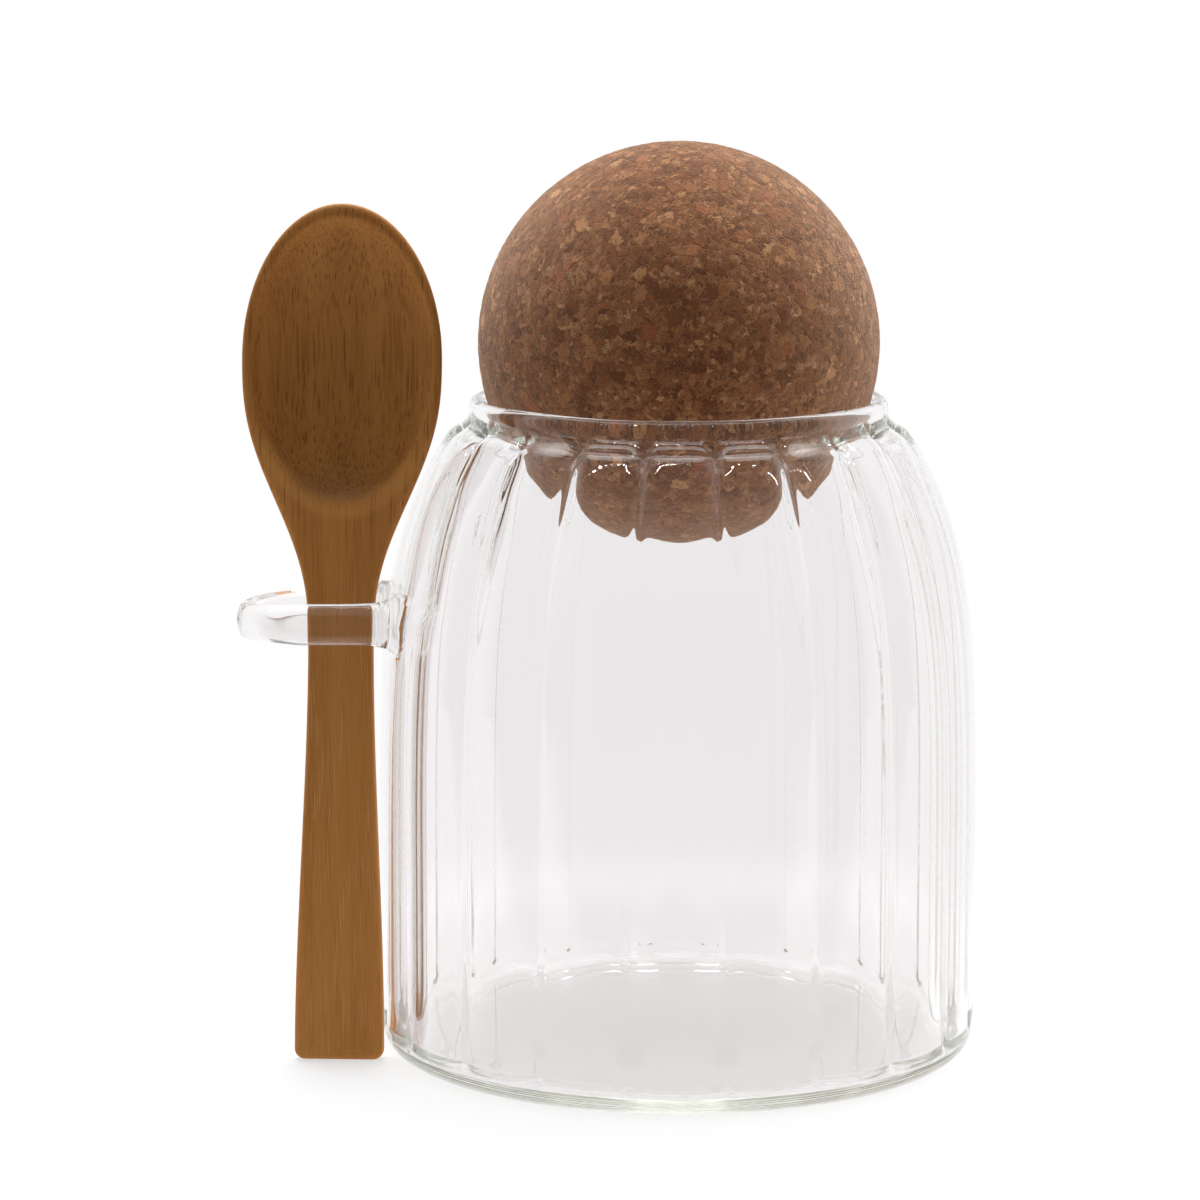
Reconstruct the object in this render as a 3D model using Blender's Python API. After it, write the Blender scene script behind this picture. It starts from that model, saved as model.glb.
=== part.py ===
"""Ribbed glass storage jar with a cork ball stopper and a bamboo spoon.

Metres, +Z up. The origin is the middle of the jar's flat underside, and the
front of the jar faces -Y. The spoon stands in a glass loop on the jar's -X side.
"""

import math

import bmesh
import bpy
from mathutils import Matrix, Vector

COLLECTION_NAME = "ribbed_jar"
CUTTER_COLLECTION_NAME = "cutters"

# Jar: radii are taken at the crests of the lobes
body_radius = 0.05035
jar_height = 0.1104
heel_radius = 0.0050
shoulder_start = 0.0200
shoulder_power = 4.75
lobe_depth = 0.0011
lobe_fade_length = 0.0060
wall_thickness = 0.0015
floor_thickness = 0.0030
floor_fillet = 0.0030
lobe_count = 20
first_crease_angle = math.radians(-81.8)

# Rim: a fire-polished bead, given by its centre circle and its own radius
rim_radius = 0.0335
bead_radius = 0.00135
bead_throat_angle = math.radians(215)
bead_foot_angle = math.radians(12)

# Cork ball stopper
ball_radius = 0.0334
seat_gap = 0.0003

# Bamboo spoon, standing on its foot with the hollow to the front
foot_width = 0.0150
neck_width = 0.0108
bowl_width = 0.0327
handle_thickness = 0.0038
bowl_depth = 0.0088
bowl_run = 0.0470
bowl_tip = 0.0254
hollow_lip = 0.0012
hollow_tip_lip = 0.0018
hollow_depth = 0.0056
lip_depth = 0.0018
foot_corner = 0.0018
spoon_front = 0.0140
spoon_lean = math.radians(0.75)
standing_gap = 0.0003

# Spoon loop: a flattened glass rod, bent to a U and welded to the wall by both ends
loop_height = 0.0744
bar_height = 0.0068
bar_thickness = 0.0036
loop_play_along = 0.0054
loop_play_across = 0.0065
neck_drop = 0.0035
weld_pad_height = 0.0112
weld_pad_width = 0.0056
weld_pad_rise = 0.0011
weld_gap = 0.0003
root_overrun = 0.0040

# Mesh fineness, in counts
lobe_steps = 4
heel_steps = 3
wall_steps = 12
bead_steps = 6
fillet_steps = 3
ball_segments = 40
ball_rings = 20
section_steps = 20
handle_stations = 10
run_stations = 10
tip_stations = 8
bend_steps = 12
bar_bevel_resolution = 3
pad_segments = 16
pad_rings = 8
hollow_segments = 28
hollow_rings = 14

# Shares and powers that shape the sections
handle_back_power = 5.0
bowl_back_power = 2.2
front_power = 5.0
crest_power = 2
tip_thickness_share = 0.55
heel_lobe_share = 0.8
foot_corner_shares = (0, 0.3, 1)
last_tip_station_share = 1 / 3
merge_share = 0.001

# Edges that turn by more than this are shaded sharp
sharp_angle = math.radians(30)

MATERIALS = {
    "borosilicate_glass": {"color": (0.93, 0.96, 0.94, 1.0), "roughness": 0.02, "transmission": 1.0},
    "agglomerated_cork": {"color": (0.30, 0.17, 0.08, 1.0), "roughness": 0.85, "transmission": 0.0},
    "bamboo": {"color": (0.33, 0.15, 0.04, 1.0), "roughness": 0.55, "transmission": 0.0},
}

full_turn = 2 * math.pi
quarter_turn = math.pi / 2


def clear_scene():
    """Remove whatever the file starts with."""
    for thing in list(bpy.data.objects):
        bpy.data.objects.remove(thing, do_unlink=True)


def make_collection(name):
    """Return a new collection, linked to the scene."""
    collection = bpy.data.collections.new(name)
    bpy.context.scene.collection.children.link(collection)
    return collection


def make_material(name):
    """Return a Principled material with the values of the table."""
    values = MATERIALS[name]
    material = bpy.data.materials.new(name)
    material.use_nodes = True
    shader = material.node_tree.nodes["Principled BSDF"]
    shader.inputs["Base Color"].default_value = values["color"]
    shader.inputs["Roughness"].default_value = values["roughness"]
    shader.inputs["Metallic"].default_value = 0
    shader.inputs["Transmission Weight"].default_value = values["transmission"]
    return material


def make_object(name, bm, collection, material=None):
    """Turn a bmesh into a named, smooth-shaded object."""
    bmesh.ops.recalc_face_normals(bm, faces=bm.faces)
    mesh = bpy.data.meshes.new(name)
    bm.to_mesh(mesh)
    bm.free()
    mesh.shade_smooth()
    mesh.set_sharp_from_angle(angle=sharp_angle)
    thing = bpy.data.objects.new(name, mesh)
    collection.objects.link(thing)
    if material:
        mesh.materials.append(material)
    return thing


def make_cutter(name, bm, collection):
    """Turn a bmesh into a helper object that is never part of the model."""
    thing = make_object(name, bm, collection)
    thing.hide_render = True
    thing.display_type = "WIRE"
    return thing


def add_boolean(target, tool, operation):
    """Join a helper to an object, or cut it out."""
    modifier = target.modifiers.new(f"{operation.lower()}_{tool.name}", "BOOLEAN")
    modifier.operation = operation
    modifier.object = tool
    modifier.solver = "EXACT"


def smooth_step(t):
    """Ease from 0 to 1 with level ends."""
    t = min(max(t, 0), 1)
    return t * t * (3 - 2 * t)


def smoother_step(t):
    """Ease from 0 to 1 with ends that are level for longer."""
    t = min(max(t, 0), 1)
    return t * t * t * (t * (6 * t - 15) + 10)


def skin_rings(rings):
    """Make a closed surface from rings of points; the first and last ring are filled."""
    bm = bmesh.new()
    loops = [[bm.verts.new(point) for point in ring] for ring in rings]
    for lower, upper in zip(loops, loops[1:]):
        count = len(lower)
        for i in range(count):
            j = (i + 1) % count
            bm.faces.new((lower[i], lower[j], upper[j], upper[i]))
    bm.faces.new(reversed(loops[0]))
    bm.faces.new(loops[-1])
    return bm


def neck_height():
    """Height at which the wall runs into the rim bead."""
    return jar_height - bead_radius - bead_radius * math.sin(bead_foot_angle)


def outer_radius(height):
    """Radius of the wall at the crests of its lobes."""
    share = max(height - shoulder_start, 0) / (neck_height() - shoulder_start)
    return body_radius - (body_radius - rim_radius - bead_radius) * share**shoulder_power


def outer_slope(height):
    """How fast the wall closes in with height."""
    span = neck_height() - shoulder_start
    share = max(height - shoulder_start, 0) / span
    closing = body_radius - rim_radius - bead_radius
    return shoulder_power * closing * share ** (shoulder_power - 1) / span


def lobe_share(height):
    """How much of the lobes' depth shows: all of it on the wall, none at the rim."""
    narrowing = outer_radius(height) / body_radius
    return narrowing * smooth_step((neck_height() - height) / lobe_fade_length)


def fluted_ring(radius, height, depth):
    """One ring of points with a convex lobe between each two creases."""
    count = lobe_count * lobe_steps
    points = []
    for i in range(count):
        across = 2 * (i % lobe_steps) / lobe_steps - 1
        reach = radius - depth * abs(across) ** crest_power
        angle = first_crease_angle + full_turn * i / count
        points.append(Vector((reach * math.cos(angle), reach * math.sin(angle), height)))
    return points


def wall_heights():
    """Heights of the wall's rings, closer together towards the rim."""
    low = heel_radius
    heights = []
    for i in range(1, wall_steps + 1):
        share = math.sin(quarter_turn * i / wall_steps)
        heights.append(low + (neck_height() - low) * share)
    return heights


def outer_rings(grow=0):
    """Rings of the jar's outside, from the underside up to the neck."""
    rings = [fluted_ring(body_radius - heel_radius + grow, 0, 0)]
    for i in range(1, heel_steps + 1):
        angle = quarter_turn * i / heel_steps
        radius = body_radius - heel_radius + heel_radius * math.sin(angle)
        height = heel_radius - heel_radius * math.cos(angle)
        share = (i / heel_steps) ** crest_power
        rings.append(fluted_ring(radius + grow, height, share * lobe_depth * heel_lobe_share))
    for height in wall_heights():
        depth = lobe_depth * lobe_share(height)
        rings.append(fluted_ring(outer_radius(height) + grow, height, depth))
    return rings


def bead_rings():
    """Rings over the rim bead, from its outer side to its throat."""
    centre_height = jar_height - bead_radius
    rings = []
    for i in range(bead_steps + 1):
        angle = bead_throat_angle * i / bead_steps
        radius = rim_radius + bead_radius * math.cos(angle)
        rings.append(fluted_ring(radius, centre_height + bead_radius * math.sin(angle), 0))
    return rings


def inner_point(height):
    """Point of the smooth inside, square to the wall from the outside."""
    slope = outer_slope(height)
    length = math.hypot(1, slope)
    thickness = wall_thickness + lobe_depth * lobe_share(height)
    return outer_radius(height) - thickness / length, height - thickness * slope / length


def inner_rings():
    """Rings of the jar's inside, from below the bead down to the floor."""
    rings = []
    fillet_top = floor_thickness + floor_fillet
    for height in reversed(wall_heights()[:-1]):
        radius, inner_height = inner_point(height)
        if inner_height > fillet_top + floor_fillet:
            rings.append(fluted_ring(radius, inner_height, 0))
    wall_inside = inner_point(fillet_top)[0]
    for i in range(fillet_steps + 1):
        angle = quarter_turn * i / fillet_steps
        radius = wall_inside - floor_fillet + floor_fillet * math.cos(angle)
        height = fillet_top - floor_fillet * math.sin(angle)
        rings.append(fluted_ring(radius, height, 0))
    return rings


def make_jar(collection, material):
    """The blown vessel: floor, lobed wall, shoulder and rim bead in one piece."""
    bm = skin_rings(outer_rings() + bead_rings() + inner_rings())
    return make_object("glass_jar", bm, collection, material)


def ball_height():
    """Height of the ball's centre, where it rests in the rim."""
    reach = ball_radius + bead_radius + seat_gap
    return jar_height - bead_radius + math.sqrt(reach**2 - rim_radius**2)


def make_ball(collection, material):
    """The cork ball, resting in the rim."""
    bm = bmesh.new()
    bmesh.ops.create_uvsphere(bm, u_segments=ball_segments, v_segments=ball_rings, radius=ball_radius)
    ball = make_object("cork_ball", bm, collection, material)
    ball.location = (0, 0, ball_height())
    return ball


def handle_length():
    """Foot to neck; the neck sits in the loop."""
    return loop_height - neck_drop


def spoon_half_width(height):
    """Half the spoon's width, from its foot to just below its tip."""
    neck = handle_length()
    if height < neck:
        share = smooth_step(height / neck)
        return (foot_width + (neck_width - foot_width) * share) / 2
    widest = neck + bowl_run
    if height < widest:
        share = smoother_step((height - neck) / bowl_run)
        return (neck_width + (bowl_width - neck_width) * share) / 2
    share = (height - widest) / bowl_tip
    return bowl_width / 2 * math.sqrt(max(1 - share**2, 0))


def spoon_back(height):
    """How far the back lies behind the front face."""
    neck = handle_length()
    widest = neck + bowl_run
    if height < widest:
        share = smoother_step((height - neck) / bowl_run)
        return handle_thickness + (bowl_depth - handle_thickness) * share
    share = (height - widest) / bowl_tip
    tip = bowl_depth * tip_thickness_share
    return tip + (bowl_depth - tip) * math.sqrt(max(1 - share**2, 0))


def spoon_section(height, half_width, back):
    """A section with a flat front at y = 0 and a back that rounds out under the bowl."""
    neck = handle_length()
    swell = smoother_step((height - neck) / bowl_run)
    back_power = handle_back_power + (bowl_back_power - handle_back_power) * swell
    lip = min(lip_depth, back / 2)
    points = []
    for i in range(section_steps):
        angle = full_turn * i / section_steps
        across, deep = math.cos(angle), math.sin(angle)
        power = back_power if deep > 0 else front_power
        reach = back - lip if deep > 0 else lip
        x = math.copysign(half_width * abs(across) ** (2 / power), across)
        y = lip + math.copysign(reach * abs(deep) ** (2 / power), deep)
        points.append(Vector((x, y, height)))
    return points


def spoon_stations():
    """Heights and sizes of the spoon's sections, with the foot's corners rounded."""
    stations = []
    for share in foot_corner_shares:
        round_share = math.sqrt(1 - (1 - share) ** 2)
        inset = foot_corner * (1 - round_share)
        height = foot_corner * share
        stations.append((height, spoon_half_width(height) - inset, inset))
    neck = handle_length()
    for i in range(1, handle_stations + 1):
        height = foot_corner + (neck - foot_corner) * i / handle_stations
        stations.append((height, spoon_half_width(height), 0))
    for i in range(1, run_stations + 1):
        height = neck + bowl_run * i / run_stations
        stations.append((height, spoon_half_width(height), 0))
    for i in range(1, tip_stations + 1):
        share = math.sin(quarter_turn * (i - last_tip_station_share) / tip_stations)
        height = neck + bowl_run + bowl_tip * share
        stations.append((height, spoon_half_width(height), 0))
    return stations


def make_spoon_hollow(cutters):
    """The ellipsoid that carves the bowl."""
    bm = bmesh.new()
    bmesh.ops.create_uvsphere(bm, u_segments=hollow_segments, v_segments=hollow_rings, radius=1)
    half_width = bowl_width / 2 - hollow_lip
    half_length = bowl_tip - hollow_tip_lip
    bmesh.ops.scale(bm, vec=(half_width, hollow_depth, half_length), verts=bm.verts)
    hollow = make_cutter("hollow_cutter", bm, cutters)
    hollow.location = (0, 0, handle_length() + bowl_run)
    return hollow


def spoon_rings():
    """The rings of the spoon's blank, upright on its foot with its front at y = 0."""
    rings = []
    for height, half_width, inset in spoon_stations():
        rings.append(spoon_section(height, half_width, spoon_back(height) - inset))
    return rings


def leaned(thing_place=Vector()):
    """The spoon's lean about its foot, and the rise that brings the foot's corner to the ground."""
    rise = (foot_width / 2 - foot_corner) * math.sin(spoon_lean)
    lean = Matrix.Rotation(spoon_lean, 4, "Y")
    return Matrix.Translation((0, 0, rise)) @ lean @ Matrix.Translation(thing_place)


def obstacle_radius(height):
    """Radius of what the spoon stands beside: the jar, and the ball above its rim."""
    if height < jar_height:
        return outer_radius(min(height, neck_height()))
    return math.sqrt(max(ball_radius**2 - (height - ball_height()) ** 2, 0))


def spoon_standoff():
    """Distance of the spoon's middle line from the jar's axis, all of it just clear of jar and ball."""
    needed = []
    for ring in spoon_rings():
        for point in ring:
            place = leaned() @ point
            reach = obstacle_radius(place.z) + standing_gap
            front_distance = spoon_front - place.y
            needed.append(place.x + math.sqrt(max(reach**2 - front_distance**2, 0)))
    return max(needed)


def make_spoon(collection, cutters, material):
    """The bamboo spoon: a lofted blank with the bowl carved out of its front."""
    spoon = make_object("bamboo_spoon", skin_rings(spoon_rings()), collection, material)
    hollow = make_spoon_hollow(cutters)
    add_boolean(spoon, hollow, "DIFFERENCE")
    stand = Matrix.Translation((-spoon_standoff(), -spoon_front, 0))
    for thing in (spoon, hollow):
        thing.matrix_world = stand @ leaned(thing.location)
    return spoon


def loop_path():
    """Middle line of the loop, from the front weld round the spoon to the back weld."""
    inner_depth = handle_thickness + loop_play_across
    front = -spoon_front - weld_gap - bar_thickness / 2
    back = front + bar_thickness + inner_depth
    middle = (front + back) / 2
    half_depth = (back - front) / 2
    far_end = -spoon_standoff() - foot_width / 2 - loop_play_along - bar_thickness / 2
    root = -math.sqrt(body_radius**2 - front**2) + root_overrun
    bend_start = far_end + half_depth
    points = [Vector((root, front, 0))]
    for i in range(bend_steps + 1):
        angle = math.pi * i / bend_steps
        x = bend_start - half_depth * math.sin(angle)
        y = middle - half_depth * math.cos(angle)
        points.append(Vector((x, y, 0)))
    points.append(Vector((root, back, 0)))
    return points


def make_bar(points, collection, material):
    """A round rod along the path, flattened to the bar's section and made a mesh."""
    curve = bpy.data.curves.new("loop_rod", "CURVE")
    curve.dimensions = "3D"
    curve.bevel_depth = bar_thickness / 2
    curve.bevel_resolution = bar_bevel_resolution
    curve.use_fill_caps = True
    spline = curve.splines.new("POLY")
    spline.points.add(len(points) - 1)
    for spline_point, point in zip(spline.points, points):
        spline_point.co = (*point, 1)
    rod = bpy.data.objects.new("loop_rod", curve)
    collection.objects.link(rod)
    bpy.context.view_layer.update()
    evaluated = rod.evaluated_get(bpy.context.evaluated_depsgraph_get())
    mesh = bpy.data.meshes.new_from_object(evaluated)
    bm = bmesh.new()
    bm.from_mesh(mesh)
    bmesh.ops.remove_doubles(bm, verts=bm.verts, dist=bar_thickness * merge_share)
    bmesh.ops.scale(bm, vec=(1, 1, bar_height / bar_thickness), verts=bm.verts)
    bpy.data.objects.remove(rod, do_unlink=True)
    bpy.data.meshes.remove(mesh)
    return make_object("spoon_loop", bm, collection, material)


def make_weld_pad(name, y, cutters):
    """An ellipsoid of glass round one root of the loop, lying on the wall."""
    bm = bmesh.new()
    bmesh.ops.create_uvsphere(bm, u_segments=pad_segments, v_segments=pad_rings, radius=1)
    radius = outer_radius(loop_height)
    size = (weld_pad_rise + lobe_depth, weld_pad_width / 2, weld_pad_height / 2)
    bmesh.ops.scale(bm, vec=size, verts=bm.verts)
    pad = make_cutter(name, bm, cutters)
    angle = math.pi + math.asin(-y / radius)
    sunk = radius - lobe_depth
    pad.rotation_euler = (0, 0, angle)
    pad.location = (sunk * math.cos(angle), sunk * math.sin(angle), loop_height)
    return pad


def make_loop(collection, cutters, material):
    """The glass loop that holds the spoon, ending just off the jar's wall."""
    points = loop_path()
    loop = make_bar(points, collection, material)
    loop.location = (0, 0, loop_height)
    for name, point in (("front_weld_pad", points[0]), ("back_weld_pad", points[-1])):
        add_boolean(loop, make_weld_pad(name, point.y, cutters), "UNION")
    vessel = make_cutter("vessel_cutter", skin_rings(outer_rings(weld_gap)), cutters)
    add_boolean(loop, vessel, "DIFFERENCE")
    return loop


def main():
    """Build the jar and its loose pieces."""
    clear_scene()
    parts = make_collection(COLLECTION_NAME)
    cutters = make_collection(CUTTER_COLLECTION_NAME)
    glass = make_material("borosilicate_glass")
    make_jar(parts, glass)
    make_loop(parts, cutters, glass)
    make_ball(parts, make_material("agglomerated_cork"))
    make_spoon(parts, cutters, make_material("bamboo"))


main()
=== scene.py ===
import math
import random

import bmesh
import bpy
from mathutils import Matrix, Vector, noise


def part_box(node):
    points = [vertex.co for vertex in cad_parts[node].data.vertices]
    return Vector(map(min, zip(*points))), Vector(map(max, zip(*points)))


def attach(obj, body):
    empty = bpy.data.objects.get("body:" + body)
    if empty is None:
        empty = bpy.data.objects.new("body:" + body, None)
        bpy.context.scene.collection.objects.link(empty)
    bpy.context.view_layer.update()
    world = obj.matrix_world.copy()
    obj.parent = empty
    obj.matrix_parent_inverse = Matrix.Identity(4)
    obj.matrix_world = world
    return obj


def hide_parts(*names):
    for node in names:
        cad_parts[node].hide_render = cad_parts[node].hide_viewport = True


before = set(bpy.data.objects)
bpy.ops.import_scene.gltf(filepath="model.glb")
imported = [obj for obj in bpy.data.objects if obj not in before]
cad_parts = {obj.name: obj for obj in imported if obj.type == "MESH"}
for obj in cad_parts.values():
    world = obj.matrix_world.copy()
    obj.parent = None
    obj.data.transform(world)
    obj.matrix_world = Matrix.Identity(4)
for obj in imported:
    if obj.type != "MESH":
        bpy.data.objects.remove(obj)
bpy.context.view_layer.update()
scene = bpy.context.scene

# ---------------------------------------------------------------- sizes, in metres
# the vessel's outside
body_radius = 0.05031
jar_height = 0.1104
foot_radius = 0.0457
underside_dish = 0.0005
heel_height = 0.0036
heel_step = 0.0004
shoulder_start = 0.0200
shoulder_power = 4.75
ledge_top = 0.1076
ledge_height = 0.0033
neck_radius = 0.0353
rim_radius = 0.0335
bead_radius = 0.00135
bead_waver = 0.00022
neck_height = jar_height - bead_radius - bead_radius * math.sin(math.radians(12))

# its inside
wall_thickness = 0.0013
floor_thickness = 0.0027
floor_crown = 0.0004
floor_fillet = 0.0032
fillet_ripple = 0.00005
throat_radius = 0.0332
throat_top = 0.1069
throat_run = 0.0027
bead_inside_start = 0.1062
bead_inside_run = 0.0028

# its lobes, the creases between them, and the groove along each crease
lobe_count = 20
lobe_depth = 0.00095
lobe_foot = 0.0020
first_crease = math.radians(-81.8)
crease_round = 0.00052
crease_top = 0.1064
crease_run_out = 0.0042
crease_wall = 0.00022
neck_wall = 0.0009
neck_wall_start, neck_wall_run = 0.068, 0.036
groove_width = 0.00080
groove_depth = 0.00015
neck_groove = 0.00052
groove_deepens, groove_deepens_run = 0.080, 0.018
groove_top, groove_run_out = 0.1058, 0.0020
round_power, boxy_power = 2, 5
boxy_start, boxy_run = 0.092, 0.010
outside_ripple, inside_ripple = 0.000015, 0.00002
# the ridges behind the creases on the inside, shallower near the floor
ridge_round = 0.0012
ridge_top, ridge_run_out = 0.1078, 0.004
ridge_foot, ridge_foot_run = 0.55, 0.008

# up to each height, the step from one ring of the wall to the next
ring_steps = ((0.0056, 0.00028), (0.0105, 0.0011), (0.063, 0.0036), (0.1015, 0.0016), (0.1088, 0.00042))

# the ball, seated a hair off the bead
ball_radius = 0.0334
ball_gap = 0.0003
ball_reach = ball_radius + bead_radius + ball_gap
ball_height = jar_height - bead_radius + math.sqrt(ball_reach**2 - rim_radius**2)
granule_pit, granule_rough = 0.00007, 0.00005

# the spoon
foot_width = 0.0150
neck_width = 0.0108
handle_length = 0.0709
handle_thickness = 0.0038
bowl_width = 0.0327
bowl_depth = 0.0088
bowl_run = 0.0470
bowl_tip = 0.0254
hollow_lip = 0.0011
hollow_tip_lip = 0.0016
hollow_depth = 0.0058
hollow_power, hollow_ease = 0.62, 0.17
lip_depth = 0.0018
foot_corner = 0.0018
# how square the edges of the front and the back are rounded
edge_power, bowl_back_power = 5.0, 2.1
spoon_lean = math.radians(0.75)
spoon_front = 0.0140
widest = handle_length + bowl_run

# the loop of flattened glass rod, and the traces of its welds on the wall
spoon_low, spoon_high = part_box("bamboo_spoon")
loop_low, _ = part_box("spoon_loop")
loop_height = 0.0744
loop_gap = 0.0003
loop_room = 0.0065
bar_height = 0.0068
bar_thickness = 0.0036
bar_bow = 0.0009
bar_front = -spoon_front - loop_gap - bar_thickness / 2
bar_back = bar_front + bar_thickness + handle_thickness + loop_room
loop_start = 0.0008
loop_sink = 0.0007
loop_waver = 0.00025
# the rod's section is boxy on the bars and nearly an ellipse in the turn, which begins over a short run
bar_square, turn_square = 0.72, 0.20
turn_start, turn_run = 0.003, 0.007
turn_cut_below, turn_cut_above = 0.16, 0.04
flare_run = 0.0015
flare_high, flare_wide = 0.50, 0.80
weld_pull = 0.0007
weld_width = 0.0042
weld_height = 0.0052
worked_low, worked_high = 0.060, 0.1035
# above the front weld the creases are dragged round by this many radians, over this width
drag_turn, drag_width = 0.055, 0.22
drag_rise, drag_fade_start, drag_fade = 0.0050, 0.004, 0.022

# ---------------------------------------------------------------- light, where 1 is white
# the table's tone, its own light, and how far that light is lowered under and behind the jar, a painted
# shadow of the glass
PAPER, FLOOR_LIFT, JAR_SHADE, BACK_SHADE = 0.26, 0.60, 0.20, 0.14
# what it gives the object from below, in the open and under the jar
BOUNCE, JAR_BOUNCE = 0.14, 0.72
# the tent behind the object, in front of it, and the table beyond the floor
TENT_BRIGHT, TENT_DIM, TABLE = 0.80, 0.03, 0.12
# the soft lights of the tent, and what gloss shows of the one overhead
TOP_LIGHT, LEFT_LIGHT, RIGHT_LIGHT, TOP_MIRRORED = 7.8, 1.75, 2.55, 3.0
TOP_WAY, LEFT_WAY, RIGHT_WAY = (0, 0.276, 0.961), (-0.94, 0.34, 0.0), (0.94, 0.34, 0.0)
# how bright gloss shows the room in front, and the share of that dimming for rays deep in the glass
MIRROR_DIM, DEEP_DIM = 0.20, 0.25
# how much the white background loses where the glass bends it up to the ceiling
CEILING_DIM = 0.62
DIODE_STRENGTH = 120.0


def smooth(t):
    t = min(max(t, 0.0), 1.0)
    return t * t * (3 - 2 * t)


def smoother(t):
    t = min(max(t, 0.0), 1.0)
    return t * t * t * (t * (6 * t - 15) + 10)


# ---------------------------------------------------------------- mesh helpers
def mesh_object(name, verts, faces, material, smooth_shaded=True):
    mesh = bpy.data.meshes.new(name)
    mesh.from_pydata(verts, [], faces)
    mesh.validate()
    bm = bmesh.new()
    bm.from_mesh(mesh)
    bmesh.ops.recalc_face_normals(bm, faces=bm.faces)
    bm.to_mesh(mesh)
    bm.free()
    if smooth_shaded:
        mesh.shade_smooth()
    mesh.materials.append(material)
    thing = bpy.data.objects.new(name, mesh)
    scene.collection.objects.link(thing)
    return thing


def skin(rings, capped=True):
    """Points and faces of a surface from rings of equal length; its ends may be filled by fans."""
    count = len(rings[0])
    verts = [tuple(p) for ring in rings for p in ring]
    faces = []
    for k in range(len(rings) - 1):
        a, b = k * count, (k + 1) * count
        for i in range(count):
            j = (i + 1) % count
            faces.append((a + i, a + j, b + j, b + i))
    if capped:
        for base, ring in ((0, rings[0]), ((len(rings) - 1) * count, rings[-1])):
            centre = len(verts)
            verts.append(tuple(sum((Vector(p) for p in ring), Vector()) / count))
            for i in range(count):
                faces.append((base + i, base + (i + 1) % count, centre))
    return verts, faces


# ---------------------------------------------------------------- node helpers
class Nodes:
    """Short calls for building one node tree."""

    def __init__(self, name, tree=None):
        if tree is None:
            self.material = bpy.data.materials.new(name)
            self.material.use_nodes = True
            tree = self.material.node_tree
        self.tree = tree
        tree.nodes.clear()

    def add(self, kind, settings=None, **sockets):
        node = self.tree.nodes.new(kind)
        for key, value in (settings or {}).items():
            setattr(node, key, value)
        for key, value in sockets.items():
            self.put(node, key.replace("_", " "), value)
        return node

    def put(self, node, key, value):
        socket = node.inputs[int(key[1:])] if key[0] == "i" and key[1:].isdigit() else node.inputs[key]
        if isinstance(value, bpy.types.NodeSocket):
            self.tree.links.new(value, socket)
        else:
            socket.default_value = value

    def math(self, operation, a, b):
        return self.add("ShaderNodeMath", {"operation": operation}, i0=a, i1=b).outputs[0]

    def vmath(self, operation, a, b):
        return self.add("ShaderNodeVectorMath", {"operation": operation}, i0=a, i1=b).outputs[0]

    def scaled(self, a, factor):
        node = self.add("ShaderNodeVectorMath", {"operation": "SCALE"}, i0=a)
        node.inputs["Scale"].default_value = factor
        return node.outputs[0]

    def span(self, value, low, high, to_low=0.0, to_high=1.0, kind="SMOOTHSTEP"):
        node = self.add("ShaderNodeMapRange", {"interpolation_type": kind}, Value=value)
        for key, number in (("From Min", low), ("From Max", high), ("To Min", to_low), ("To Max", to_high)):
            self.put(node, key, number)
        return node.outputs[0]

    def mix(self, factor, a, b, blend="MIX"):
        node = self.add("ShaderNodeMix", {"data_type": "RGBA", "blend_type": blend, "clamp_factor": True})
        for key, value in ((0, factor), (6, a), (7, b)):
            if isinstance(value, bpy.types.NodeSocket):
                self.tree.links.new(value, node.inputs[key])
            else:
                node.inputs[key].default_value = value
        return node.outputs[2]

    def ramp(self, factor, stops):
        node = self.add("ShaderNodeValToRGB", None, Fac=factor)
        ramp = node.color_ramp
        while len(ramp.elements) < len(stops):
            ramp.elements.new(1.0)
        for element, (place, colour) in zip(ramp.elements, stops):
            element.position = place
            element.color = (*colour, 1.0)
        return node.outputs[0]

    def noise(self, vector, scale, detail=2.0, rough=0.5, distort=0.0):
        return self.add("ShaderNodeTexNoise", None, Vector=vector, Scale=scale, Detail=detail,
                        Roughness=rough, Distortion=distort)

    def voronoi(self, vector, scale, feature="F1", random=1.0):
        node = self.add("ShaderNodeTexVoronoi", {"feature": feature}, Vector=vector, Scale=scale)
        node.inputs["Randomness"].default_value = random
        return node

    def bump(self, height, strength, distance):
        node = self.add("ShaderNodeBump", None, Height=height, Strength=strength, Distance=distance)
        return node.outputs[0]


# ---------------------------------------------------------------- materials
def glass_material():
    n = Nodes("clear_glass")
    glass = n.add("ShaderNodeBsdfPrincipled", None, Roughness=0.0, IOR=1.47)
    glass.inputs["Base Color"].default_value = (0.945, 0.929, 0.934, 1.0)
    glass.inputs["Transmission Weight"].default_value = 1.0
    open_way = n.add("ShaderNodeBsdfTransparent", None, Color=(0.975, 0.97, 0.968, 1.0))
    path = n.add("ShaderNodeLightPath")
    for_diffuse = n.add("ShaderNodeMixShader", None, Fac=path.outputs["Is Diffuse Ray"],
                        i1=glass.outputs[0], i2=open_way.outputs[0])
    for_shadows = n.add("ShaderNodeMixShader", None, Fac=path.outputs["Is Shadow Ray"],
                      i1=for_diffuse.outputs[0], i2=open_way.outputs[0])
    inside = n.add("ShaderNodeVolumeAbsorption", None, Color=(0.85, 0.88, 0.83, 1.0), Density=15.0)
    n.add("ShaderNodeOutputMaterial", None, Surface=for_shadows.outputs[0], Volume=inside.outputs[0])
    return n.material


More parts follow.
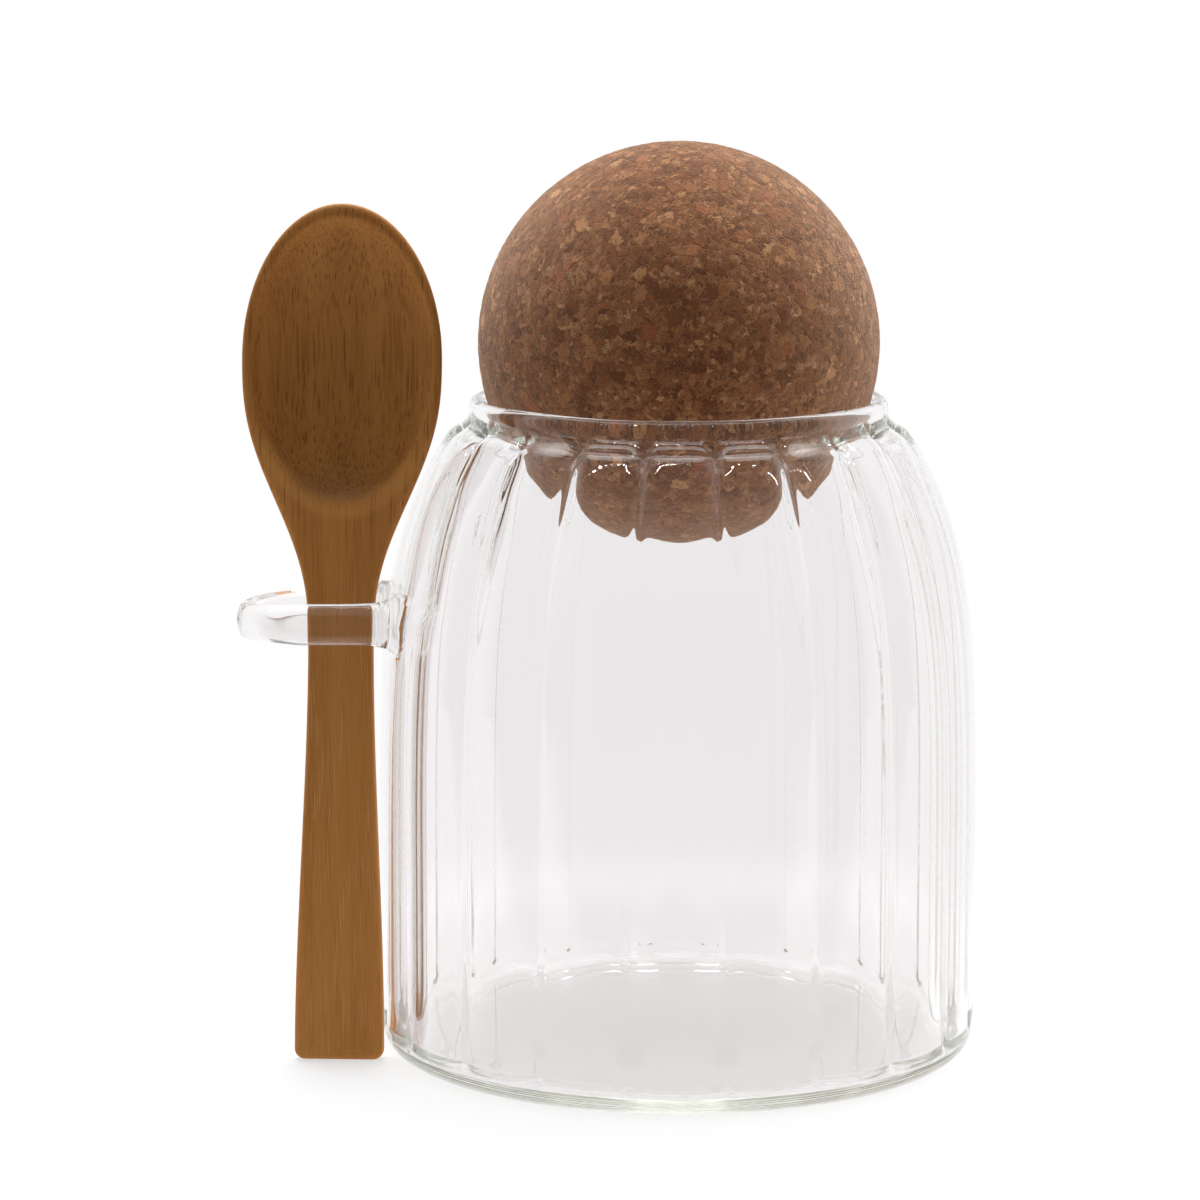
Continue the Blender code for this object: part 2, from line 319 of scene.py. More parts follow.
def cork_material():
    """Pressed granules of 1 to 3 mm, torn into short dark and pale strokes; coordinates in mm."""
    n = Nodes("granulated_cork")
    place = n.scaled(n.add("ShaderNodeTexCoord").outputs["Object"], 1000.0)
    wobble = n.noise(place, 1.1, 3.0, 0.6).outputs["Color"]
    bent = n.vmath("ADD", place, n.scaled(n.vmath("SUBTRACT", wobble, (0.5, 0.5, 0.5)), 1.7))
    big = n.voronoi(bent, 0.50)
    small = n.voronoi(bent, 1.15)
    edge_big = n.voronoi(bent, 0.50, "DISTANCE_TO_EDGE").outputs["Distance"]
    edge_small = n.voronoi(bent, 1.15, "DISTANCE_TO_EDGE").outputs["Distance"]
    is_big = n.span(n.add("ShaderNodeSeparateColor", None, Color=big.outputs["Color"]).outputs[2], 0.62, 0.66)
    pick = n.mix(is_big, small.outputs["Color"], big.outputs["Color"])
    parts = n.add("ShaderNodeSeparateColor", None, Color=pick)
    tone = n.ramp(parts.outputs[0], [
        (0.0, (0.145, 0.047, 0.015)), (0.25, (0.215, 0.076, 0.026)), (0.60, (0.280, 0.107, 0.038)),
        (0.88, (0.360, 0.155, 0.060)), (1.0, (0.480, 0.242, 0.108))])
    red = n.span(parts.outputs[1], 0.90, 0.95)
    tone = n.mix(n.math("MULTIPLY", red, 0.6), tone, (0.340, 0.105, 0.045, 1.0))
    # the torn cells run their own way in every granule
    turned = n.add("ShaderNodeVectorRotate", {"rotation_type": "AXIS_ANGLE"}, Vector=bent,
                   Axis=n.vmath("SUBTRACT", pick, (0.5, 0.5, 0.5)),
                   Angle=n.math("MULTIPLY", parts.outputs[1], 6.28)).outputs[0]
    torn = n.noise(n.vmath("MULTIPLY", turned, (1.0, 1.0, 0.30)), 3.3, 3.0, 0.62, 0.6).outputs["Fac"]
    chips = n.noise(n.vmath("MULTIPLY", turned, (0.45, 1.0, 1.0)), 4.6, 2.0, 0.6).outputs["Fac"]
    fine = n.noise(place, 7.5, 2.0, 0.65).outputs["Fac"]
    dark = n.span(torn, 0.475, 0.345)
    pale = n.span(chips, 0.60, 0.74)
    tone = n.mix(n.math("MULTIPLY", dark, 0.84), tone, (0.070, 0.022, 0.009, 1.0))
    tone = n.mix(n.math("MULTIPLY", pale, 0.62), tone, (0.46, 0.255, 0.135, 1.0))
    seam_big = n.math("MULTIPLY", n.span(edge_big, 0.0, 0.085, 1.0, 0.0), is_big)
    seam_small = n.math("MULTIPLY", n.span(edge_small, 0.0, 0.12, 1.0, 0.0), n.math("SUBTRACT", 1.0, is_big))
    seam = n.math("MAXIMUM", seam_big, n.math("MULTIPLY", seam_small, 0.8))
    seam_dark = n.math("MULTIPLY", seam, n.span(torn, 0.62, 0.40, 0.0, 0.85))
    tone = n.mix(seam_dark, tone, (0.080, 0.026, 0.011, 1.0))
    fleck = n.span(fine, 0.28, 0.72, 0.56, 1.46, "LINEAR")
    fleck = n.add("ShaderNodeCombineColor", None, Red=fleck, Green=fleck, Blue=fleck).outputs[0]
    tone = n.mix(1.0, tone, fleck, "MULTIPLY")
    relief = n.math("ADD", n.math("MULTIPLY", torn, 0.6),
                    n.math("SUBTRACT", n.math("MULTIPLY", fine, 0.40), n.math("MULTIPLY", seam, 0.5)))
    shader = n.add("ShaderNodeBsdfPrincipled", None, Roughness=0.9)
    n.put(shader, "Base Color", tone)
    n.put(shader, "Normal", n.bump(relief, 0.8, 0.00025))
    shader.inputs["Specular IOR Level"].default_value = 0.10
    shader.inputs["Sheen Weight"].default_value = 0.50
    shader.inputs["Sheen Roughness"].default_value = 0.42
    shader.inputs["Sheen Tint"].default_value = (1.0, 0.87, 0.70, 1.0)
    n.add("ShaderNodeOutputMaterial", None, Surface=shader.outputs[0])
    return n.material


def bamboo_material():
    """Fibre bundles along the spoon: cut across they show as dots, cut along as dashes; coordinates in mm."""
    n = Nodes("oiled_bamboo")
    place = n.scaled(n.add("ShaderNodeTexCoord").outputs["Object"], 1000.0)
    sway = n.noise(n.vmath("MULTIPLY", place, (0.22, 0.22, 0.030)), 1.0, 2.0).outputs["Color"]
    bent = n.vmath("ADD", place, n.scaled(n.vmath("SUBTRACT", sway, (0.5, 0.5, 0.5)), 1.6))
    bundle = n.voronoi(n.vmath("MULTIPLY", bent, (1.0, 1.0, 0.022)), 2.5, "F1", 0.9)
    parts = n.add("ShaderNodeSeparateColor", None, Color=bundle.outputs["Color"])
    core = n.span(bundle.outputs["Distance"], 0.38, 0.15)
    core = n.math("MULTIPLY", core, n.span(parts.outputs[0], 0.05, 0.70, 0.25, 1.0))
    halo = n.span(bundle.outputs["Distance"], 0.36, 0.62)
    hair = n.noise(n.vmath("MULTIPLY", bent, (4.2, 4.2, 0.11)), 1.0, 3.0, 0.6).outputs["Fac"]
    broad = n.noise(n.vmath("MULTIPLY", bent, (0.34, 0.34, 0.010)), 1.0, 2.0).outputs["Fac"]
    grit = n.noise(place, 6.0, 2.0, 0.7).outputs["Fac"]
    tone = n.ramp(broad, [
        (0.25, (0.335, 0.125, 0.022)), (0.5, (0.390, 0.152, 0.029)), (0.75, (0.445, 0.184, 0.042))])
    tone = n.mix(n.math("MULTIPLY", halo, 0.22), tone, (0.500, 0.225, 0.060, 1.0))
    tone = n.mix(n.span(hair, 0.54, 0.76, 0.0, 0.42), tone, (0.545, 0.265, 0.085, 1.0))
    tone = n.mix(n.span(hair, 0.44, 0.27, 0.0, 0.40), tone, (0.215, 0.076, 0.018, 1.0))
    # the bundles are dark in the bowl, and pale where the handle's face cuts them along
    _, front, height = n.add("ShaderNodeSeparateXYZ", None, Vector=place).outputs
    high = n.span(height, 76.0, 96.0)
    bundle_tone = n.mix(high, (0.560, 0.330, 0.145, 1.0), (0.150, 0.044, 0.010, 1.0))
    tone = n.mix(n.math("MULTIPLY", core, n.span(high, 0.0, 1.0, 0.40, 0.64, "LINEAR")), tone, bundle_tone)
    speck = n.span(grit, 0.30, 0.70, 0.90, 1.10, "LINEAR")
    speck = n.add("ShaderNodeCombineColor", None, Red=speck, Green=speck, Blue=speck).outputs[0]
    tone = n.mix(1.0, tone, speck, "MULTIPLY")
    # painted highlight: the lower lip of the hollow is painted lighter, standing in for the overhead light
    # that its upturned face catches
    from_bowl = n.vmath("SUBTRACT", n.scaled(place, 0.001), ((spoon_low.x + spoon_high.x) / 2, 0, widest))
    lip_highlight = n.vmath("MULTIPLY", from_bowl, (2 / bowl_width, 0, 1 / bowl_tip))
    lip_highlight = n.add("ShaderNodeVectorMath", {"operation": "LENGTH"}, i0=lip_highlight).outputs["Value"]
    low_side = n.span(height, (widest - 0.010) * 1000, (widest - 0.018) * 1000)
    low_side = n.math("MULTIPLY", low_side, n.span(front, -10.8, -11.8))
    lip_highlight = n.math("MULTIPLY", n.span(lip_highlight, 0.86, 0.93), n.span(lip_highlight, 1.06, 0.99))
    lip_highlight = n.math("MULTIPLY", n.math("MULTIPLY", lip_highlight, low_side), 0.3)
    tone = n.mix(lip_highlight, tone, (0.640, 0.300, 0.085, 1.0))
    relief = n.math("SUBTRACT", n.math("MULTIPLY", hair, 0.5), n.math("MULTIPLY", core, 0.6))
    shader = n.add("ShaderNodeBsdfPrincipled")
    n.put(shader, "Base Color", tone)
    n.put(shader, "Roughness", n.span(hair, 0.2, 0.8, 0.46, 0.62, "LINEAR"))
    n.put(shader, "Normal", n.bump(relief, 0.35, 0.00010))
    shader.inputs["Specular IOR Level"].default_value = 0.14
    n.add("ShaderNodeOutputMaterial", None, Surface=shader.outputs[0])
    return n.material


# ---------------------------------------------------------------- the glass jar
def shoulder(height):
    share = max(height - shoulder_start, 0) / (neck_height - shoulder_start)
    return body_radius - (body_radius - neck_radius) * share**shoulder_power


def shoulder_slope(height):
    hair = 0.0001
    return (shoulder(height - hair) - shoulder(height + hair)) / (2 * hair)


def outer_radius(height):
    """The crest of a lobe: a ledge leads from its top up into the plain neck."""
    body = shoulder(height)
    return body + (rim_radius + bead_radius - body) * smooth((height - ledge_top) / ledge_height + 1)


def crease_radius(height):
    """The bottom of a crease: it runs out under the ledge, a little below the lobes."""
    body = shoulder(height) - lobe_depth * shoulder(height) / body_radius
    return body + (rim_radius + bead_radius - body) * smooth((height - crease_top) / crease_run_out + 1)


def throat(height):
    """The inside of the wall behind a lobe's crest."""
    body = shoulder(height) - wall_thickness * math.hypot(1, shoulder_slope(height))
    step = throat_radius - rim_radius + bead_radius
    neck = throat_radius - step * smooth((height - bead_inside_start) / bead_inside_run)
    return body + (neck - body) * smooth((height - throat_top) / throat_run + 1)


lobe_angle = math.radians(360 / lobe_count)
half_arc = math.pi * body_radius / lobe_count
# steps across a lobe, as distances from its crease in mm: fine where the wall turns
crease_steps = [0, 0.08, 0.18, 0.30, 0.46, 0.68, 0.98, 1.4, 1.95, 2.65, 3.5, 4.5, 5.6, 6.75]
lobe_places = [step / 1000 / half_arc - 1 for step in crease_steps] + [0.0]
lobe_places += [-place for place in reversed(lobe_places[1:-1])]


def bend(t, rounding, power=round_power):
    """A lobe's section: 0 at the crest, 1 in the crease, where two arcs meet in a rounded turn."""
    e = (1 - abs(t)) * half_arc
    g = (math.hypot(e, rounding) - rounding) / (math.hypot(half_arc, rounding) - rounding)
    return (1 - g) ** power


def groove(t):
    """The narrow groove that lies along each crease on the outside."""
    return math.exp(-(((1 - abs(t)) * half_arc / groove_width) ** 2))


ring_angles = []
for lobe in range(lobe_count):
    for place in lobe_places:
        ring_angles.append(first_crease + lobe_angle * (lobe + (place + 1) / 2))
ring_grooves = [groove(place) for place in lobe_places] * lobe_count


def section(height, rounding):
    """The lobes' section at a height: arcs along the body, boxier where they end under the neck."""
    power = round_power + (boxy_power - round_power) * smooth((height - boxy_start) / boxy_run)
    return [bend(place, rounding, power) for place in lobe_places] * lobe_count


def wall_at(angle):
    """The outer radius of the fluted wall beside the loop."""
    lobe = ((angle - first_crease) / lobe_angle) % 1
    return outer_radius(loop_height) - lobe_depth * bend(2 * lobe - 1, crease_round)


def weld_angle(y):
    return math.pi + math.asin(-y / outer_radius(loop_height))


welds = [weld_angle(bar_front), weld_angle(bar_back)]


def pulled(angle, height):
    """How far the wall is drawn out where the hot loop was pressed on."""
    total = 0.0
    for weld in welds:
        away = (angle - weld + math.pi) % (2 * math.pi) - math.pi
        across = away * body_radius / weld_width
        along = (height - loop_height) / weld_height
        total += weld_pull * math.exp(-(across**2 + along**2))
    return total


def twist(angle, height):
    """The creases are dragged forward above the front weld."""
    away = (angle - welds[0] + math.pi) % (2 * math.pi) - math.pi
    faded = smooth((height - loop_height - drag_fade_start) / drag_fade)
    above = smooth((height - loop_height) / drag_rise) * (1 - faded)
    return drag_turn * math.exp(-((away / drag_width) ** 2)) * above


def ring_of(radius, height, depth=0.0, rounding=crease_round, ripple=0.0, worked=False, wave=0.0, cut=0.0):
    """One ring of the vessel; depth is its fall in the creases, cut the depth of the grooves in them."""
    points = []
    for angle, place, notch in zip(ring_angles, section(height, rounding), ring_grooves):
        c, s = math.cos(angle), math.sin(angle)
        reach = radius - depth * place - cut * notch + ripple * noise.noise((c * 9, s * 9, height * 12))
        if worked:
            reach += pulled(angle, height)
            turned = angle + twist(angle, height)
            c, s = math.cos(turned), math.sin(turned)
        points.append((reach * c, reach * s, height + wave * noise.noise((c * 2.3, s * 2.3, 5.0))))
    return points


def jar_rings():
    rings = []
    for share in (0.0005, 0.35, 0.7, 0.9, 1.0):
        rings.append(ring_of(foot_radius * share, underside_dish * (1 - share**3)))
    heel_steps = 10
    heel_reach = body_radius - heel_step - foot_radius
    for i in range(1, heel_steps + 1):
        angle = math.pi / 2 * i / heel_steps
        rings.append(ring_of(foot_radius + heel_reach * math.sin(angle), heel_height * (1 - math.cos(angle))))
    heights = []
    height = heel_height
    while height < ring_steps[-1][0]:
        height += next(step for top, step in ring_steps if height < top)
        heights.append(height)
    for height in heights:
        # the lobes end over the plain heel, each with its own rounded foot
        risen = smooth((height - heel_height) / lobe_foot)
        radius = outer_radius(height) - heel_step * (1 - risen)
        depth = risen * (outer_radius(height) - crease_radius(height) - heel_step * (1 - risen))
        near_neck = smooth((height - groove_deepens) / groove_deepens_run)
        cut = groove_depth + (neck_groove - groove_depth) * near_neck
        cut *= risen * smooth((groove_top - height) / groove_run_out)
        worked = worked_low < height < worked_high
        rings.append(ring_of(radius, height, depth, ripple=outside_ripple, worked=worked, cut=cut))
    bead_steps = 14
    for i in range(bead_steps + 1):
        angle = math.pi * i / bead_steps
        radius = rim_radius + bead_radius * math.cos(angle)
        height = jar_height - bead_radius + bead_radius * math.sin(angle)
        rings.append(ring_of(radius, height, wave=bead_waver * math.sin(angle)))
    fillet_top = floor_thickness + floor_fillet
    # the inside, from the rim down, with every other ring where the outside has its finest ones
    inside_low, inside_high, sparse_above = fillet_top + 0.001, 0.1086, 0.100
    for i, height in reversed(list(enumerate(heights))):
        if inside_low < height < inside_high and (height < sparse_above or i % 2 == 0):
            fade = ridge_foot + (1 - ridge_foot) * smooth((height - fillet_top) / ridge_foot_run)
            fade *= smooth((ridge_top - height) / ridge_run_out)
            near_neck = smooth((height - neck_wall_start) / neck_wall_run)
            thicker = crease_wall + (neck_wall - crease_wall) * near_neck
            depth = (lobe_depth + thicker) * shoulder(height) / body_radius
            worked = worked_low < height < worked_high
            rings.append(ring_of(throat(height), height, depth * fade, ridge_round, inside_ripple, worked))
    wall_inside = throat(fillet_top)
    fillet_steps = 16
    for i in range(fillet_steps + 1):
        angle = math.pi / 2 * i / fillet_steps
        curl = floor_fillet + fillet_ripple * math.sin(6 * math.pi * i / fillet_steps)
        depth = (lobe_depth + crease_wall) * ridge_foot * (1 - smooth(i / fillet_steps))
        radius = wall_inside - floor_fillet + curl * math.cos(angle)
        rings.append(ring_of(radius, fillet_top - curl * math.sin(angle), depth, ridge_round))
    for share in (0.9, 0.75, 0.5, 0.25, 0.0005):
        height = floor_thickness + floor_crown * (1 - share**2)
        rings.append(ring_of((wall_inside - floor_fillet) * share, height))
    return rings


def loop_rings():
    """The flattened rod of the loop, swept round the spoon, its ends flared into the wall."""
    middle = (bar_front + bar_back) / 2
    half_depth = (bar_back - bar_front) / 2
    far_end = loop_low.x + bar_thickness / 2
    turn_x = far_end + half_depth
    wall = outer_radius(loop_height)
    line = []
    for y in (bar_front, bar_back):
        surface = -math.sqrt((wall + loop_start) ** 2 - y * y)
        # closer together near the wall, where the rod flares
        shares = [(i / 14) ** 1.5 for i in range(14)]
        run = turn_x - surface
        line.append([(surface + run * share, y, -run * share) for share in shares])
    # each point of the route is x, y and its distance from the wall
    route = line[0]
    steps = 48
    past_flare = 0.02
    for i in range(steps + 1):
        angle = math.pi * i / steps
        x, y = turn_x - half_depth * math.sin(angle), middle - half_depth * math.cos(angle)
        route.append((x, y, past_flare))
    front_end = route[0][0]
    bowed = []
    for x, y, away in route:
        if y < middle:
            y -= bar_bow * math.sin(math.pi * (front_end - x) / (front_end - far_end))
        bowed.append((x, y, away))
    route = bowed + line[1][::-1]
    rings = []
    count = 28
    for k, (x, y, away) in enumerate(route):
        x0, y0, _ = route[max(k - 1, 0)]
        x1, y1, _ = route[min(k + 1, len(route) - 1)]
        along = Vector((x1 - x0, y1 - y0, 0)).normalized()
        out = Vector((along.y, -along.x, 0))
        flare = math.exp(-max(away, 0) / flare_run)
        turned = smooth((turn_x + turn_start - x) / turn_run)
        high = bar_height / 2 * (1 + flare_high * flare)
        wide = bar_thickness / 2 * (1 + flare_wide * flare)
        squareness = bar_square + turn_square * turned
        ring = []
        for i in range(count):
            turn = 2 * math.pi * i / count
            c, s = math.cos(turn), math.sin(turn)
            a = math.copysign(abs(c) ** squareness, c) * wide
            b = math.copysign(abs(s) ** squareness, s) * high
            b *= 1 - (turn_cut_below if s < 0 else turn_cut_above) * turned
            point = Vector((x, y, loop_height + b)) + out * a
            point.z += loop_waver * math.sin(k * 0.11 + 0.4)
            ring.append(point)
        rings.append(ring)
    for first, ring in ((True, rings[0]), (False, rings[-1])):
        end = []
        for point in ring:
            angle = math.pi + math.asin(-point.y / wall)
            radius = wall_at(angle) + pulled(angle, point.z) - loop_sink
            end.append(Vector((radius * math.cos(angle), radius * math.sin(angle), point.z)))
        if first:
            rings.insert(0, end)
        else:
            rings.append(end)
    return rings


def make_glass():
    material = glass_material()
    jar = mesh_object("jar_and_loop", *skin(jar_rings()), material)
    loop = mesh_object("loop_blank", *skin(loop_rings()), material)
    join = jar.modifiers.new("fuse", "BOOLEAN")
    join.operation = "UNION"
    join.solver = "EXACT"
    join.object = loop
    fused = bpy.data.meshes.new_from_object(jar.evaluated_get(bpy.context.evaluated_depsgraph_get()))
    jar.modifiers.clear()
    jar.data = fused
    bpy.data.objects.remove(loop, do_unlink=True)
    fused.shade_smooth()
    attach(jar, "jar")
    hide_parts("glass_jar", "spoon_loop")


# ---------------------------------------------------------------- the cork ball
def make_ball():
    bm = bmesh.new()
    bmesh.ops.create_icosphere(bm, subdivisions=7, radius=1.0)
    for vert in bm.verts:
        way = vert.co.normalized()
        spot = way * ball_radius * 1000
        near = noise.voronoi(spot * 0.40)[0]
        pit = smooth((0.28 - (near[1] - near[0])) / 0.28) * granule_pit
        rough = granule_rough * (noise.fractal(spot * 0.55, 0.9, 2.0, 3) * 0.5 + 0.5)
        vert.co = way * (ball_radius - pit - max(rough, 0))
    mesh = bpy.data.meshes.new("cork_ball_granules")
    bm.to_mesh(mesh)
    bm.free()
    mesh.shade_smooth()
    mesh.materials.append(cork_material())
    ball = bpy.data.objects.new("cork_ball_granules", mesh)
    ball.location = (0, 0, ball_height)
    scene.collection.objects.link(ball)
    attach(ball, "stopper")
    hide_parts("cork_ball")


# ---------------------------------------------------------------- the bamboo spoon
def spoon_half_width(height):
    if height < handle_length:
        return (foot_width + (neck_width - foot_width) * smooth(height / handle_length)) / 2
    if height < widest:
        return (neck_width + (bowl_width - neck_width) * smoother((height - handle_length) / bowl_run)) / 2
    return bowl_width / 2 * math.sqrt(max(1 - ((height - widest) / bowl_tip) ** 2, 0))


def spoon_outline():
    """Half of the spoon's outline, from the middle of the foot to the tip, as (x, height)."""
    half = foot_width / 2
    line = [((half - foot_corner) * i / 7, 0.0) for i in range(7)]
    for i in range(9):
        turn = math.pi / 2 * i / 8
        line.append((half - foot_corner + foot_corner * math.sin(turn), foot_corner * (1 - math.cos(turn))))
    height = foot_corner
    handle_step, bowl_step = 0.0017, 0.0010
    while height < widest - 0.0011:
        height += handle_step if height < handle_length else bowl_step
        line.append((spoon_half_width(height), height))
    for i in range(53):
        turn = math.pi / 2 * i / 52
        line.append((bowl_width / 2 * math.cos(turn), widest + bowl_tip * math.sin(turn)))
    return line


def dish(x, height):
    """How deep the hollow is carved at a point of the front face; its lip is eased."""
    a = bowl_width / 2 - hollow_lip
    b = bowl_tip - hollow_tip_lip
    t = max(1 - (x / a) ** 2 - ((height - widest) / b) ** 2, 0)
    return hollow_depth * t**hollow_power * smooth(t / hollow_ease)


def spoon_point(x, height, rho, front):
    """rho is 0 on the spoon's middle line and 1 at its outline."""
    swell = smoother((height - handle_length) / bowl_run)
    back = handle_thickness + (bowl_depth - handle_thickness) * swell
    if front:
        rise = max(1 - rho**edge_power, 0) ** (1 / edge_power)
        return Vector((x, lip_depth * (1 - rise) + dish(x, height), height))
    power = edge_power + (bowl_back_power - edge_power) * swell
    rise = max(1 - rho**power, 0) ** (1 / power)
    return Vector((x, lip_depth + (back - lip_depth) * rise, height))


def make_spoon():
    half = spoon_outline()
    outline = half + [(-x, height) for x, height in reversed(half[1:-1])]
    steps = [i / 30 for i in range(30)] + [0.978, 0.988, 0.995, 0.9985]
    rings = []
    for front, shares in ((True, steps + [1.0]), (False, list(reversed(steps)))):
        for rho in shares:
            ring = []
            for x, height in outline:
                middle = min(max(height, foot_width / 2), widest)
                ring.append(spoon_point(x * rho, middle + (height - middle) * rho, rho, front))
            rings.append(ring)
    spoon = mesh_object("carved_bamboo_spoon", *skin(rings, capped=False), bamboo_material())
    lean = Matrix.Translation((0, -spoon_front, 0)) @ Matrix.Rotation(spoon_lean, 4, "Y")
    spoon.data.transform(lean)
    low = [min(v.co[k] for v in spoon.data.vertices) for k in range(3)]
    high = max(v.co.x for v in spoon.data.vertices)
    spoon.data.transform(Matrix.Translation(((spoon_low.x + spoon_high.x - low[0] - high) / 2, 0, -low[2])))
    bm = bmesh.new()
    bm.from_mesh(spoon.data)
    # the first and last ring are folded flat on the middle line, where this joins their halves
    bmesh.ops.remove_doubles(bm, verts=bm.verts, dist=0.000004)
    bmesh.ops.recalc_face_normals(bm, faces=bm.faces)
    bm.to_mesh(spoon.data)
    bm.free()
    spoon.data.shade_smooth()
    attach(spoon, "spoon")
    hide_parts("bamboo_spoon")


# ---------------------------------------------------------------- floor, world, row of diodes
def make_floor():
    n = Nodes("pale_floor")
    path = n.add("ShaderNodeLightPath")
    place = n.add("ShaderNodeTexCoord").outputs["Object"]
    away = n.add("ShaderNodeVectorMath", {"operation": "LENGTH"}, i0=place).outputs["Value"]
    far = n.span(away, 0.09, 0.17)
    # the table lights the object from below, more strongly under the jar; under and behind the jar the
    # table's own light is lowered, a painted shadow of the glass
    bounce = n.span(away, 0.030, 0.060, JAR_BOUNCE, BOUNCE)
    bounced = n.math("MULTIPLY", path.outputs["Is Diffuse Ray"], bounce)
    lifted = n.math("ADD", bounced, n.span(away, 0.036, 0.052, FLOOR_LIFT - JAR_SHADE, FLOOR_LIFT))
    behind = n.add("ShaderNodeVectorMath", {"operation": "DISTANCE"}, i0=place, i1=(0.0, 0.050, 0.0))
    lifted = n.math("ADD", lifted, n.span(behind.outputs["Value"], 0.040, 0.085, -BACK_SHADE, 0.0))
    paper = n.add("ShaderNodeBsdfDiffuse", None, Color=(PAPER, PAPER, PAPER, 1.0))
    lift = n.add("ShaderNodeEmission", None, Color=(1, 1, 1, 1), Strength=lifted)
    near = n.add("ShaderNodeAddShader", None, i0=paper.outputs[0], i1=lift.outputs[0])
    # in front of the object the table ends in shade, which only gloss shows
    ahead = n.span(n.add("ShaderNodeSeparateXYZ", None, Vector=place).outputs[1], -0.10, -0.17)
    mirrored = n.math("MINIMUM", path.outputs["Glossy Depth"], 1.0)
    deep = n.math("GREATER_THAN", path.outputs["Transmission Depth"], 2.5)
    shade = n.math("MULTIPLY", ahead, mirrored)
    shade = n.math("MULTIPLY", shade, n.span(deep, 0.0, 1.0, 1.0, DEEP_DIM, "LINEAR"))
    level = n.math("ADD", bounced, n.span(shade, 0.0, 1.0, 1.0, MIRROR_DIM, "LINEAR"))
    white = n.add("ShaderNodeEmission", None, Color=(1, 1, 1, 1), Strength=level)
    out = n.add("ShaderNodeMixShader", None, Fac=far, i1=near.outputs[0], i2=white.outputs[0])
    n.add("ShaderNodeOutputMaterial", None, Surface=out.outputs[0])
    half, front = 0.60, -0.30
    corners = [(-half, front, 0), (half, front, 0), (half, half, 0), (-half, half, 0)]
    floor = mesh_object("studio_floor", corners, [(0, 1, 2, 3)], n.material, False)
    floor.location = (0, 0, -0.00004)


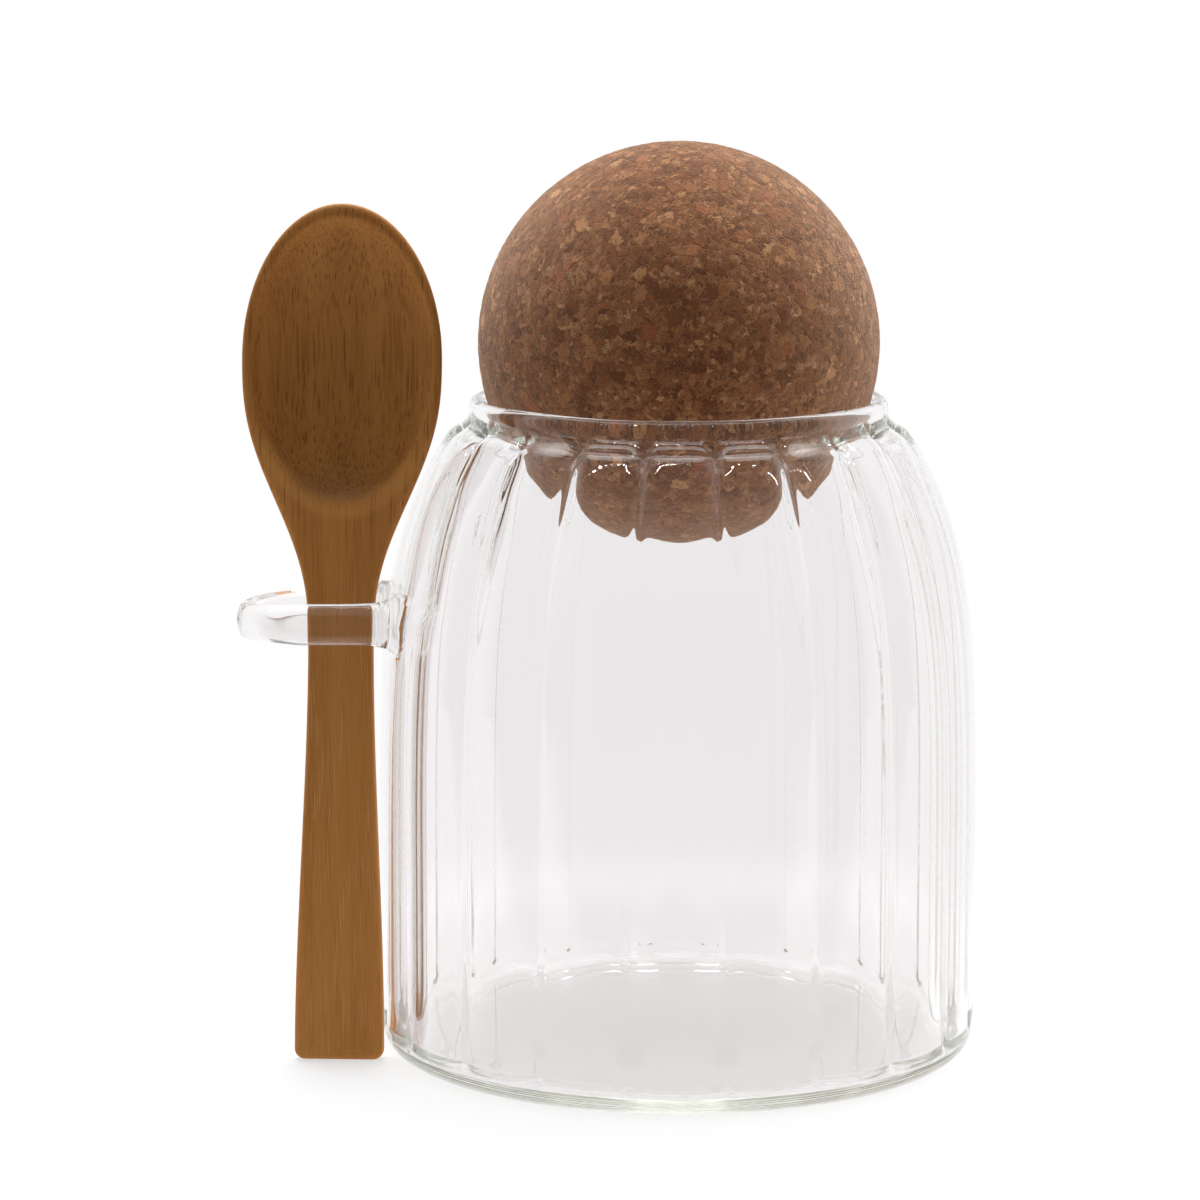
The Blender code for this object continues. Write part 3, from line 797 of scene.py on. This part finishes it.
def make_world():
    world = bpy.data.worlds.new("studio")
    scene.world = world
    world.use_nodes = True
    n = Nodes("", world.node_tree)
    path = n.add("ShaderNodeLightPath")
    way = n.add("ShaderNodeTexCoord").outputs["Generated"]
    parts = n.add("ShaderNodeSeparateXYZ", None, Vector=way)
    _, forward, up = parts.outputs
    # soft tent: bright behind, dark towards the room in front, where only the table is pale
    dim = n.span(forward, 0.16, -0.22)
    tent = n.span(dim, 0.0, 1.0, TENT_BRIGHT, TENT_DIM, "LINEAR")
    tent = n.math("MAXIMUM", tent, n.span(up, 0.0, -0.06, 0.0, TABLE))
    deep = n.math("GREATER_THAN", path.outputs["Transmission Depth"], 2.5)
    mirrored = n.math("MULTIPLY", dim, n.span(deep, 0.0, 1.0, 1.0, DEEP_DIM, "LINEAR"))
    mirrored = n.span(mirrored, 0.0, 1.0, 1.0, MIRROR_DIM, "LINEAR")
    overhead = n.add("ShaderNodeVectorMath", {"operation": "DOT_PRODUCT"}, i0=way, i1=TOP_WAY)
    mirrored = n.math("ADD", mirrored, n.span(overhead.outputs["Value"], 0.840, 0.920, 0.0, TOP_MIRRORED))
    left = n.add("ShaderNodeVectorMath", {"operation": "DOT_PRODUCT"}, i0=way, i1=LEFT_WAY)
    right = n.add("ShaderNodeVectorMath", {"operation": "DOT_PRODUCT"}, i0=way, i1=RIGHT_WAY)
    for lit in (n.span(overhead.outputs["Value"], 0.848, 0.951, 0.0, TOP_LIGHT),
                n.span(left.outputs["Value"], 0.60, 0.95, 0.0, LEFT_LIGHT),
                n.span(right.outputs["Value"], 0.60, 0.95, 0.0, RIGHT_LIGHT)):
        tent = n.math("ADD", tent, lit)
    shown = n.math("MAXIMUM", path.outputs["Is Glossy Ray"], path.outputs["Is Transmission Ray"])
    level = n.add("ShaderNodeMix", {"data_type": "FLOAT"})
    for key, value in ((0, shown), (2, tent), (3, mirrored)):
        n.put(level, f"i{key}", value)
    # seen directly or straight through the glass, the background is white
    unmirrored = n.math("LESS_THAN", path.outputs["Glossy Depth"], 0.5)
    through = n.math("MULTIPLY", path.outputs["Is Transmission Ray"], unmirrored)
    seen = n.math("MAXIMUM", path.outputs["Is Camera Ray"], through)
    camera = n.add("ShaderNodeMix", {"data_type": "FLOAT"})
    for key, value in ((0, seen), (2, level.outputs[0])):
        n.put(camera, f"i{key}", value)
    # what the glass bends up towards the ceiling is dimmer, which draws its rounded edges
    ceiling = n.math("MULTIPLY", through, n.span(up, 0.18, 0.60, 0.0, CEILING_DIM))
    n.put(camera, "i3", n.math("SUBTRACT", 1.0, ceiling))
    back = n.add("ShaderNodeBackground", None, Color=(1, 1, 1, 1), Strength=camera.outputs[0])
    n.add("ShaderNodeOutputWorld", None, Surface=back.outputs[0])


def make_diode_rows():
    """A row of bright bars high in front, seen only as the dotted glints that it leaves on the glass."""
    n = Nodes("diodes")
    light = n.add("ShaderNodeEmission", None, Color=(1, 1, 1, 1), Strength=DIODE_STRENGTH)
    n.add("ShaderNodeOutputMaterial", None, Surface=light.outputs[0])
    verts, faces = [], []
    draw = random.Random(11)
    y, z, half_height = -0.235, 0.520, 0.0035
    lean_y, lean_z = 0.90 * half_height, 0.44 * half_height
    short_half, long_half = 0.0065, 0.045
    gap, wide_gap = 0.018, 0.060
    x, end_x = -0.34, 0.40
    while x < end_x:
        half_x = long_half if draw.random() < 0.14 else short_half
        base = len(verts)
        for side_x, side in ((0, -1), (2 * half_x, -1), (2 * half_x, 1), (0, 1)):
            verts.append((x + side_x, y + side * lean_y, z + side * lean_z))
        faces.append((base, base + 1, base + 2, base + 3))
        x += 2 * half_x + (wide_gap if draw.random() < 0.16 else gap)
    strips = mesh_object("diode_rows", verts, faces, n.material, False)
    strips.visible_camera = False
    strips.visible_diffuse = False
    strips.visible_shadow = False


# ---------------------------------------------------------------- the camera, and the scene built
camera_data = bpy.data.cameras.new("camera")
camera_data.sensor_width = 36.0
camera_data.lens = 135.93
camera_data.clip_start = 0.01
camera = bpy.data.objects.new("camera", camera_data)
camera.location = (-0.01309, -0.750, 0.200)
camera.rotation_euler = (math.radians(90 - 9.39), 0, 0)
scene.collection.objects.link(camera)
scene.camera = camera

make_glass()
make_ball()
make_spoon()
make_floor()
make_world()
make_diode_rows()

scene.view_settings.view_transform = "Standard"
scene.cycles.max_bounces = 96
scene.cycles.transmission_bounces = 96
scene.cycles.glossy_bounces = 64
scene.cycles.transparent_max_bounces = 32
